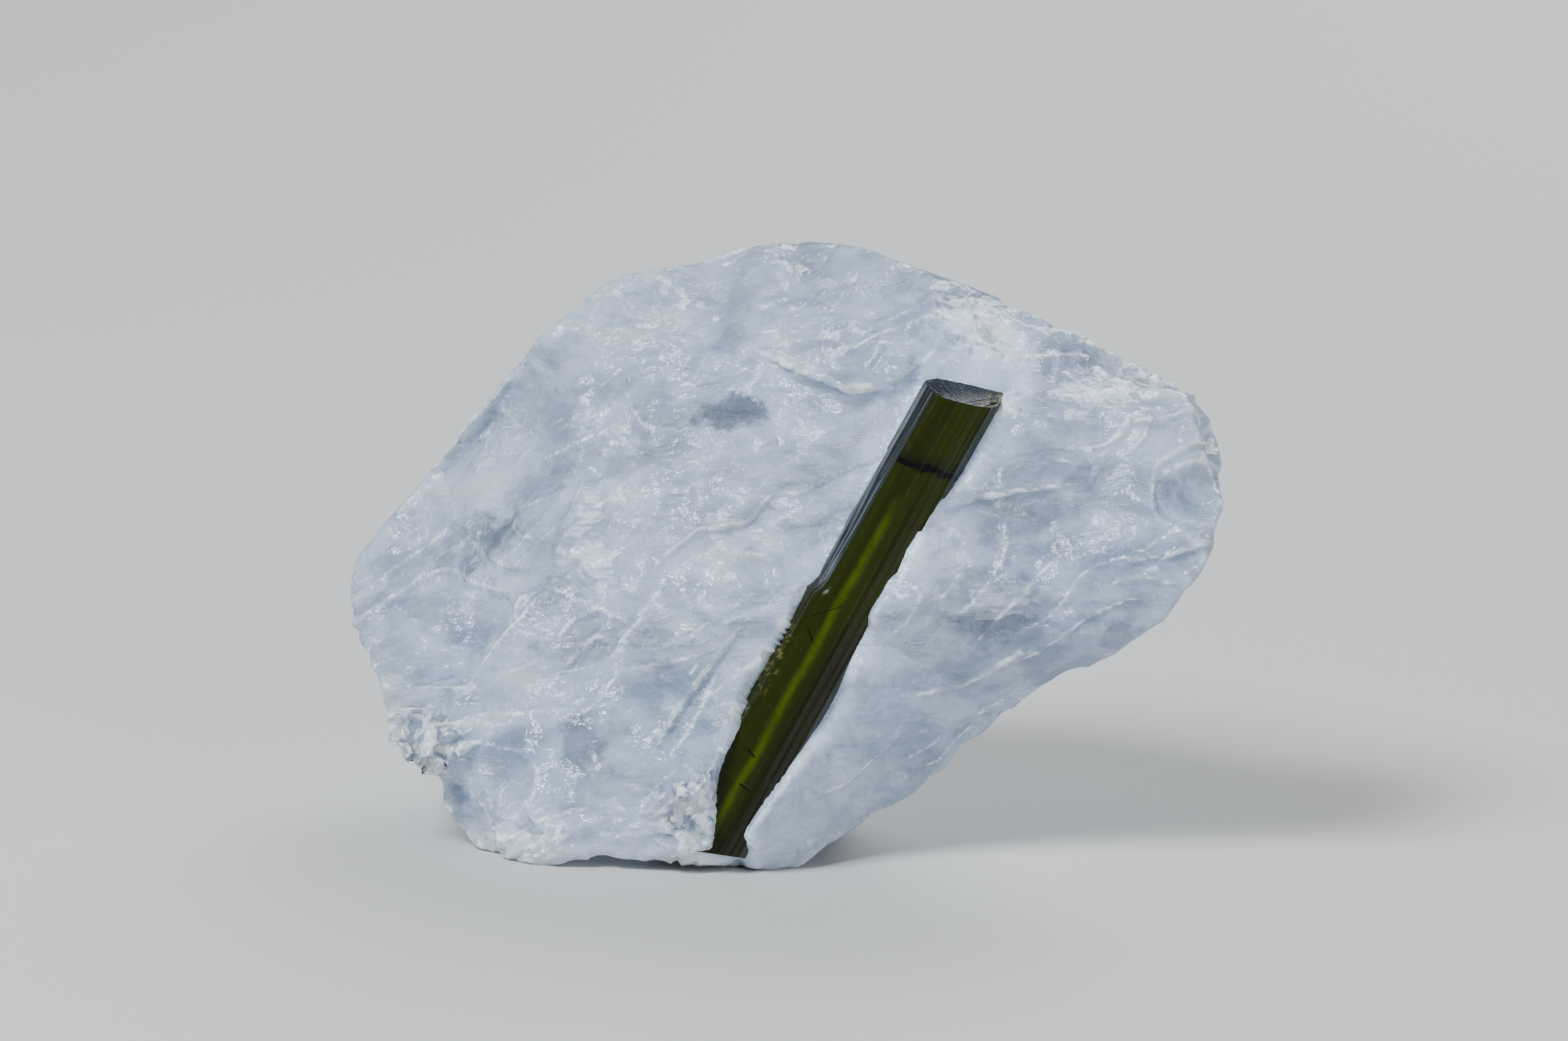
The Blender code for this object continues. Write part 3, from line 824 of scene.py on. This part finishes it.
# the oval near whose rim a glow is painted: right, up, half width, half height and turn
EDGE_GLOW_OVAL = (0.2, 15.0, 22.0, 14.2, 15)
OVAL_DEPTH = 14.0


def seen_place(finish):
    """(right, up, back) of the shaded place, as the viewer sees it."""
    own = finish.in_axes(PLANE_SHIFT * MM, (SEEN_RIGHT, SEEN_UP, -SEEN_BACK))
    right, up, ahead = own.parts()
    back = ahead * -1.0
    spread = back * (1.0 / VIEW_DISTANCE) + 1.0
    return finish.vector(right / spread, (up - EYE_UP) / spread + EYE_UP, back)


def oval(finish, seen, right, up, half_width, half_height, turn):
    """Distance from the middle of an oval, 1 on its edge."""
    size = (half_width, half_height, OVAL_DEPTH)
    own = finish.mapped(seen, "TEXTURE", (0, 0, math.radians(turn)), size, (right, up, 0))
    return finish.vector_math("LENGTH", own, output="Value")


def strongest(finish, seen, torn, ovals, inner, outer):
    """The strength of the oval that covers a place, 0 outside them all."""
    best = None
    for *shape, strength in ovals:
        share = (oval(finish, seen, *shape) + torn).ramp(outer, inner) * strength
        best = share if best is None else best.larger(share)
    return best


print("windows, bright and chipped spots:", len(WINDOWS), len(SHINING), len(CHIPPED))

# %% [markdown]
# ## The finish of the quartz
#
# Two shaders are mixed: one lets light wander a little way under the skin, and one is clear glass.
# The colour of the first carries the clouds, the windows with their painted dark, the painted
# reflections of flat cracks inside, a painted glow near the outer rim, the white veils that healed
# cracks leave and the white chips of the crushed spots. Veils are the thin contour lines of a
# stretched noise, kept only in patches, because real ones come and go. The mark that each vertex
# stores paints highlights on each sharp ridge and painted shade into the creases, and brown specks
# of dust are scattered, most of them on the right face.

# %% Quartz colours and noises
DEEP = (0.38, 0.48, 0.64, 1)
MISTY = (0.56, 0.68, 0.86, 1)
MILKY = (0.71, 0.82, 0.99, 1)
WINDOW_SHADE = (0.06, 0.10, 0.17, 1)
GLINT_WHITE = (0.80, 0.90, 1.0, 1)
VEIL = (0.88, 0.94, 1.0, 1)
DUST = (0.24, 0.17, 0.10, 1)
GLASS = (0.84, 0.90, 0.96, 1)

TORN_EDGES = {"scale": 0.75, "detail": 4.0, "roughness": 0.62}
TORN_BY = 2.2
CLOUDS = {"scale": 0.20, "detail": 4.0, "roughness": 0.58, "distortion": 0.4}
DRIFTS = {"scale": 0.55, "detail": 5.0, "roughness": 0.62, "distortion": 0.3}
VEIL_LINES = {"detail": 3.0, "roughness": 0.6, "distortion": 0.6}
VEIL_PATCHES = {"detail": 1.0, "roughness": 0.5}
HATCHING = {"scale": 1.5, "detail": 3.0}
SPECKS = {"scale": 4.6, "detail": 2.0, "roughness": 0.5}
SPECK_PATCHES = {"scale": 0.3, "detail": 2.0}
RIDGE_HIGHLIGHT_PATCHES = {"scale": 0.9, "detail": 3.0}
GRAIN = {"scale": 3.2, "detail": 3.0, "roughness": 0.6}
RIPPLES = {"scale": 1.3, "detail": 4.0, "roughness": 0.60, "distortion": 0.4}
GLOSS_PATCHES = {"scale": 0.7, "detail": 4.0, "roughness": 0.6}
FLOW_TURN = math.radians(-32)
FLOW_STRETCH = (0.42, 1, 0.6)
HATCH_TURN = math.radians(50)
HATCH_STRETCH = (0.4, 3, 1)
FLAKE_SCALE = 0.85
CHIP_SCALE = 1.3
# how far a vertex stands out where the painted shade of a crease or the painted highlight of a ridge is at
# its strongest, in mm
CREASE = -0.045
RIDGE = 0.045
# how far from the axis of the crystal the stone is milky, and where it may be clear again, in mm
MILKY_NEAR = 2.2
MILKY_UNTIL = 3.4
print("a milky place sends back", round(sum(MILKY[:3]) / 3, 2), "of the light")


# %% Parts of the quartz pattern
def flowing(finish, seen):
    """The place as seen, stretched along the way that the cracks inside run."""
    return finish.mapped(finish.wandered(seen, 0.22, 2.4), rotation=(0, 0, FLOW_TURN), scale=FLOW_STRETCH)


def veils(finish, flow, scale, width, seed):
    """Thin wavering lines that come and go."""
    moved = finish.vector_math("ADD", flow, (seed, seed * 0.5, 0.0))
    field = finish.noise(moved, scale, **VEIL_LINES)
    kept = finish.noise(moved, scale * 0.45, **VEIL_PATCHES).ramp(0.52, 0.64)
    return abs(field - 0.5).ramp(width, 0.0) * kept


def all_veils(finish, seen, flow):
    """Two sets of veils that follow the cracks and one that doesn't."""
    lines = veils(finish, flow, 0.9, 0.016, 0.0).larger(veils(finish, flow, 1.9, 0.018, 17.0) * 0.7)
    return lines.larger(veils(finish, seen, 1.2, 0.012, 41.0) * 0.6)


def painted_glints(finish, seen, flow, shining):
    """Painted reflections: flakes over a flat crack inside that sends the light back, hatched across."""
    flakes = finish.voronoi(finish.wandered(flow, 0.8, 1.1), FLAKE_SCALE, "Color")
    lit = flakes.parts()[0].ramp(0.50, 0.54)
    crossing = finish.mapped(seen, rotation=(0, 0, HATCH_TURN), scale=HATCH_STRETCH)
    hatching = finish.noise(crossing, **HATCHING).ramp(0.38, 0.60, 0.25, 1.0)
    return (shining * lit * hatching).clamped()


def dust(finish, seen):
    """Small specks in patches, fewer on the left."""
    specks = finish.noise(seen, **SPECKS).ramp(0.735, 0.765)
    rightward = seen.parts()[0].ramp(-14.0, 4.0, 0.35, 1.0)
    return specks * (finish.noise(seen, **SPECK_PATCHES).ramp(0.48, 0.60) * rightward)


def away_from_crystal(finish):
    """0 beside the crystal, where the quartz is milky and hides it, and 1 elsewhere."""
    own = finish.in_axes(foot, (across, -forward, along))
    flat = finish.vector_math("MULTIPLY", own, (1, 1, 0))
    return finish.vector_math("LENGTH", flat, output="Value").ramp(MILKY_NEAR, MILKY_UNTIL)


# %% [markdown]
# ## Laying the quartz patterns over each other
#
# The colour is built up as a painter would: the clouds first, then each mark over what is there
# already, by a Mix node whose factor is the mark's pattern. What hides the inside of the stone, such
# as a veil or a glint, also takes away from the share of the clear glass, and what opens it adds.

# %% Quartz pattern
def quartz_pattern(finish):
    """The colour of the quartz, its share of clear glass and the patterns that its bump needs."""
    seen = seen_place(finish)
    torn = (finish.noise(seen, **TORN_EDGES) - 0.5) * TORN_BY
    window = strongest(finish, seen, torn, WINDOWS, 0.55, 1.15)
    shining = strongest(finish, seen, torn * 0.7, SHINING, 0.75, 1.05)
    chipped = strongest(finish, seen, torn * 0.5, CHIPPED, 0.7, 1.1)
    flow = flowing(finish, seen)
    tone = finish.noise(seen, **CLOUDS) * 0.5 + finish.noise(flow, **DRIFTS) * 0.5
    body = finish.colour_mix(tone.ramp(0.36, 0.52), DEEP, MISTY)
    body = finish.colour_mix(tone.ramp(0.50, 0.64), body, MILKY)
    # painted shade: the windows take a dark colour for the dark seen through clear quartz
    body = finish.colour_mix(window * 0.9, body, WINDOW_SHADE)
    # painted reflection: the flakes over flat cracks inside are whitened as if they sent the light back
    bright = painted_glints(finish, seen, flow, shining)
    body = finish.colour_mix(bright * 0.7, body, GLINT_WHITE)
    # painted glow: the colour turns milky near the outer rim as seen, for light shining through thin edges
    edge = oval(finish, seen, *EDGE_GLOW_OVAL).ramp(0.78, 1.02)
    body = finish.colour_mix(edge * 0.55, body, MILKY)
    lines = all_veils(finish, seen, flow)
    body = finish.colour_mix(lines * 0.5, body, VEIL)
    body = finish.colour_mix(dust(finish, seen) * 0.8, body, DUST)
    jumbled = finish.wandered(finish.place, 0.9, 0.7)
    white_chips = chipped * finish.voronoi(jumbled, CHIP_SCALE, "Color").parts()[1].ramp(0.35, 0.55)
    body = finish.colour_mix(white_chips * 0.9, body, VEIL)
    crest = finish.add("ShaderNodeAttribute", {"attribute_name": "crest"}, output="Fac")
    # painted shade in the creases and painted highlights on each sharp ridge, from the crest mark of the
    # vertices
    body = finish.colour_mix(crest.ramp(-0.012, CREASE) * 0.35, body, DEEP)
    ridge_highlights = crest.ramp(0.010, RIDGE) * finish.noise(seen, **RIDGE_HIGHLIGHT_PATCHES).ramp(0.40, 0.60, 0.25, 1.0)
    body = finish.colour_mix(ridge_highlights * 0.75, body, VEIL)
    clear = 0.36 + window * 0.12 + chipped * 0.3 - white_chips * 0.5 + tone.ramp(0.55, 0.40) * 0.2
    clear = clear - bright * 0.3 - lines * 0.3 - ridge_highlights * 0.4
    return flow, jumbled, body, clear.clamped() * away_from_crystal(finish), chipped, shining


# %% [markdown]
# ## The quartz material
#
# A break in quartz is glossy and covered with small flat chips, too many to model. A Bump node
# slants them: broad and fine Voronoi facets, the ripples of the break and a little grain. The milky
# shader scatters light 1.6 mm deep, and the glass one lets it through.

# %% Quartz material
BROAD_FACET_SCALE = 0.50
SCATTER_DEPTH = 1.6
QUARTZ_IOR = 1.54


def quartz_finish():
    """Milky quartz: the scattering shader and the clear one, mixed by the pattern."""
    finish = Finish("milky quartz")
    flow, jumbled, body, clear, chipped, shining = quartz_pattern(finish)
    grain = finish.noise(finish.place, **GRAIN)
    ripples = finish.noise(flow, **RIPPLES)
    broad = finish.facets(finish.wandered(flow, 0.35, 2.0), BROAD_FACET_SCALE)
    fine = finish.facets(jumbled, CHIP_SCALE)
    height = broad * 0.80 + fine * (0.45 + chipped * 1.2 + shining * 0.7)
    height = height + ripples * 0.22 + grain * 0.06
    bump = finish.bump(height, 1.0, 1.0)
    rough = finish.noise(flow, **GLOSS_PATCHES).ramp(0.35, 0.65, 0.06, 0.22)
    milk = finish.principled(
        Base_Color=body, Roughness=rough, IOR=QUARTZ_IOR, Subsurface_Weight=0.5,
        Subsurface_Radius=(1.0, 1.05, 1.15), Subsurface_Scale=SCATTER_DEPTH * MM, Normal=bump,
    )
    glass = finish.principled(
        Base_Color=GLASS, Roughness=0.10, IOR=QUARTZ_IOR, Transmission_Weight=1.0, Normal=bump,
    )
    finish.surface(finish.add("ShaderNodeMixShader", None, {"Fac": clear, 1: milk, 2: glass}))
    return finish.material


quartz.data.materials.clear()
quartz.data.materials.append(quartz_finish())
print("quartz nodes:", len(quartz.data.materials[0].node_tree.nodes))

# %% [markdown]
# ## The finish of the tourmaline
#
# The crystal is deep olive green, glossy, and striped lengthwise, because its colour changed while
# it grew, and a bright line along it is a painted reflection of light from inside. All its marks are
# given along the prism: the height from the foot and the distance across it. The left flat has a
# painted reflection of the room in fine bright threads, a dark crack runs across near the top with
# painted shade just above it, and the broken end is smoky grey with some ochre at its right.

# %% Marks on the crystal
OLIVE = (0.0160, 0.0168, 0.0008, 1)
MOSS = (0.0195, 0.0275, 0.0010, 1)
BROWN = (0.010, 0.008, 0.002, 1)
STREAK_REFLECTION = (0.075, 0.105, 0.002, 1)
OCHRE = (0.24, 0.20, 0.05, 1)
SMOKE = (0.016, 0.018, 0.020, 1)
THREAD = (0.13, 0.15, 0.16, 1)
INK = (0.002, 0.002, 0.002, 1)

BANDS = {"scale": 1.5, "detail": 3.0, "roughness": 0.55}
FINE_THREADS = {"scale": 7.0, "detail": 3.0, "roughness": 0.6}
BLOTCHES = {"scale": 0.7, "detail": 4.0, "roughness": 0.6}
STREAK_REFLECTION_WANDER = {"scale": 0.25, "detail": 2.0}
MOTTLING = {"scale": 2.6, "detail": 4.0, "roughness": 0.7}
CRACK_JITTER = {"scale": 1.6, "detail": 4.0, "roughness": 0.6}
SMUDGES = {"scale": 3.0, "detail": 4.0, "roughness": 0.65}
CRYSTAL_GRAIN = {"scale": 5.0, "detail": 3.0}
CRYSTAL_GLOSS = {"scale": 2.0, "detail": 4.0}
STREAK_REFLECTION_RIGHT = -0.20
MOTTLE_HEIGHT = 10.2

# height from the foot, how far across, half length, half width and slant across
DASHES = [
    (12.0, -0.70, 0.32, 0.06, -0.85),
    (5.65, -0.40, 0.30, 0.07, -0.35),
    (4.05, 0.10, 0.34, 0.06, -0.10),
    (13.4, -0.55, 0.70, 0.04, 1.05),
]


def dash(height, right, at_height, at_right, half_length, half_width, slant):
    """One short dark line across the crystal."""
    beside = abs(right - at_right)
    level = abs(height - at_height - (right - at_right) * slant)
    return beside.ramp(half_length, half_length * 0.7) * level.ramp(half_width, half_width * 0.4)


def crystal_pattern(finish):
    """The green with its bands, its darker right, a painted bright reflection along it and its ochre
    mottling.
    """
    own = finish.in_axes(foot, (across, -forward, along))
    right, behind, height = own.parts()
    bands = finish.noise(finish.mapped(own, scale=(1, 1, 0.05)), **BANDS)
    threads = finish.noise(finish.mapped(own, scale=(1, 1, 0.02)), **FINE_THREADS)
    blotches = finish.noise(own, **BLOTCHES)
    green = finish.colour_mix(bands.ramp(0.38, 0.62), OLIVE, MOSS)
    lower = height.ramp(14.5, 12.0)
    green = finish.colour_mix(lower * right.ramp(0.15, 0.75) * 0.85, green, BROWN)
    green = finish.colour_mix(lower * right.ramp(0.3, -0.6) * 0.5, green, MOSS)
    # painted reflection: a bright yellow-green line along the prism, for light coming back from inside
    wander = (finish.noise(finish.mapped(own, scale=(0, 0, 1)), **STREAK_REFLECTION_WANDER) - 0.5) * 0.5
    streak_reflection = abs(right - STREAK_REFLECTION_RIGHT + wander).ramp(0.34, 0.0)
    streak_reflection = streak_reflection * height.ramp(20.5, 17.5) * blotches.ramp(0.30, 0.6, 0.5, 1.0)
    green = finish.colour_mix(streak_reflection * 0.8, green, STREAK_REFLECTION)
    mottle = finish.noise(own, **MOTTLING).ramp(0.50, 0.62) * right.ramp(-1.05, -1.4)
    mottle = mottle * abs(height - MOTTLE_HEIGHT).ramp(2.2, 1.2)
    green = finish.colour_mix(mottle * 0.5, green, OCHRE)
    return own, right, behind, height, threads, green


print("dashes across the crystal:", len(DASHES))

# %% [markdown]
# ## The tourmaline material
#
# Dark tourmaline lets a little light in and soaks most of it up on the way, so the shader passes a
# quarter of the light and a volume behind it absorbs. The broken end is told from the long faces by
# the way it faces, and the left flat by its place across the prism.

# %% Tourmaline material
CRACK_HEIGHT = 21.65
CRACK_SLANT = 0.19
TOURMALINE_IOR = 1.63
SOAKED_COLOUR = (0.45, 0.5, 0.08, 1)
SOAK_DENSITY = 260.0


def tourmaline_finish():
    """Green tourmaline: the pattern, the crack, the dashes, the left flat and the broken end."""
    finish = Finish("green tourmaline")
    own, right, behind, height, threads, green = crystal_pattern(finish)
    jitter = (finish.noise(own, **CRACK_JITTER) - 0.5) * 0.7
    level = height + jitter - right * CRACK_SLANT - CRACK_HEIGHT
    # the crack is a dark line; the weaker dark band just above it is painted shade
    crack = abs(level).ramp(0.26, 0.12).larger(level.ramp(1.1, 0.0) * level.ramp(-0.1, 0.1) * 0.6)
    green = finish.colour_mix(crack, green, INK)
    for mark in DASHES:
        green = finish.colour_mix(dash(height, right, *mark), green, INK)
    # painted reflection: the left flat is coloured with bright threads on smoky grey, for the room
    # mirrored in it
    side = (right + behind * 0.65).ramp(-2.00, -2.12) * height.ramp(13.5, 15.5)
    green = finish.colour_mix(side, green, finish.colour_mix(threads.ramp(0.50, 0.62), SMOKE, THREAD))
    normal = finish.add("ShaderNodeNewGeometry", output="Normal")
    end = finish.vector_math("DOT_PRODUCT", normal, tuple(along), output="Value").ramp(0.35, 0.5)
    smudge = finish.noise(own, **SMUDGES)
    broken = finish.colour_mix(smudge.ramp(0.56, 0.80), INK, THREAD)
    broken = finish.colour_mix(right.ramp(0.6, 1.7) * smudge.ramp(0.42, 0.58) * 0.6, broken, OCHRE)
    green = finish.colour_mix(end, green, broken)
    grain = finish.noise(own, **CRYSTAL_GRAIN)
    bump = finish.bump(threads * 0.6 + grain * (0.1 + end * 0.8), 0.5, 0.10)
    rough = finish.noise(own, **CRYSTAL_GLOSS).ramp(0.35, 0.65, 0.08, 0.18) - end * 0.04 - side * 0.05
    stone = finish.principled(
        Base_Color=green, Roughness=rough, IOR=TOURMALINE_IOR, Specular_IOR_Level=0.15,
        Transmission_Weight=0.25, Normal=bump,
    )
    soaked = {"Color": SOAKED_COLOUR, "Density": SOAK_DENSITY}
    tint = finish.add("ShaderNodeVolumeAbsorption", None, soaked)
    finish.surface(stone, tint)
    return finish.material


crystal.data.materials.clear()
crystal.data.materials.append(tourmaline_finish())
print("tourmaline nodes:", len(crystal.data.materials[0].node_tree.nodes))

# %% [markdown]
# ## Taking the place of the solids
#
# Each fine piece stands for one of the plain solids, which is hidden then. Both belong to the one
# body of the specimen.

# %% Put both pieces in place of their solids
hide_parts("quartz_matrix")
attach(quartz, "root")
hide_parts("tourmaline_crystal")
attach(crystal, "root")
print("in place:", quartz.name, "and", crystal.name)

# %% [markdown]
# ## The floor
#
# A stone is best seen on something plain. The floor is one large pale matt square at height zero,
# which the specimen stands on.

# %% Floor
FLOOR_HALF = 1.5
FLOOR_PALE = (0.60, 0.59, 0.57, 1)


def make_floor():
    """A plain pale square under the stone."""
    bm = bmesh.new()
    bmesh.ops.create_grid(bm, x_segments=1, y_segments=1, size=FLOOR_HALF)
    floor = as_object(bm, "floor")
    finish = Finish("pale floor")
    finish.surface(finish.principled(Base_Color=FLOOR_PALE, Roughness=0.8))
    floor.data.materials.append(finish.material)
    return floor


floor = make_floor()
print("floor:", round(floor.dimensions.x, 1), "m wide")

# %% [markdown]
# ## Soft light
#
# A broad soft light comes from the upper left in front, as daylight from a window does. A weaker one
# behind makes the thin edges of the quartz glow, a low one on the right opens the shadows, and a dim
# bluish room fills the rest.

# %% Lights
LIGHTS_AIM = Vector((0, 0, 0.015))
ROOM_COLOUR = (0.80, 0.86, 0.94, 1)
ROOM_STRENGTH = 0.25


def soft_light(name, place, size, power, colour):
    """A square soft light at a place in metres, aimed at the middle of the stone."""
    lamp = bpy.data.lights.new(name, "AREA")
    lamp.size = size
    lamp.energy = power
    lamp.color = colour
    light = bpy.data.objects.new(name, lamp)
    light.location = place
    aim = LIGHTS_AIM - Vector(place)
    light.rotation_euler = aim.to_track_quat("-Z", "Y").to_euler()
    bpy.context.scene.collection.objects.link(light)
    return light


key = soft_light("window light", (-0.27, -0.30, 0.42), 0.18, 4.7, (0.88, 0.94, 1.0))
rim = soft_light("back light", (0.15, 0.40, 0.35), 0.30, 2.2, (0.92, 0.96, 1.0))
fill = soft_light("fill light", (0.42, -0.34, 0.07), 0.40, 1.7, (0.94, 0.97, 1.0))
world = bpy.data.worlds.new("room")
bpy.context.scene.world = world
world.use_nodes = True
room = world.node_tree.nodes["Background"]
room.inputs["Color"].default_value = ROOM_COLOUR
room.inputs["Strength"].default_value = ROOM_STRENGTH
for light in (key, rim, fill):
    print(f"{light.name}: {(light.location - LIGHTS_AIM).length:.2f} m away")

# %% [markdown]
# ## The camera
#
# The camera stands where the eye of the viewer's plane is and looks straight at that plane. The lens
# follows from how far off it is and how wide the frame is there, which is 75.5 mm.

# %% Camera
FRAME_WIDTH = 75.5
SENSOR_WIDTH = 36.0
camera_data = bpy.data.cameras.new("camera")
camera_data.sensor_width = SENSOR_WIDTH
camera_data.lens = SENSOR_WIDTH * VIEW_DISTANCE / FRAME_WIDTH
camera_data.clip_start = 0.01
camera_data.clip_end = 10.0
camera = bpy.data.objects.new("camera", camera_data)
turn = Matrix((SEEN_RIGHT, SEEN_UP, -SEEN_BACK)).transposed()
camera.matrix_world = Matrix.Translation(eye) @ turn.to_4x4()
bpy.context.scene.collection.objects.link(camera)
bpy.context.scene.camera = camera
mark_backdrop(floor, key, rim, fill)
print("lens:", round(camera_data.lens, 1), "mm")

# %% [markdown]
# ## Measuring the size
#
# Last, the box round the finished pieces is measured and printed, like the box of the solids at the
# start. The two have to agree, because the fine relief only moves the skin.

# %% Write down the sizes and finish
visual_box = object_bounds()
for axis, low, high in zip("XYZ", *visual_box):
    print(f"visual along {axis}: {(high - low) / MM:.1f} mm")
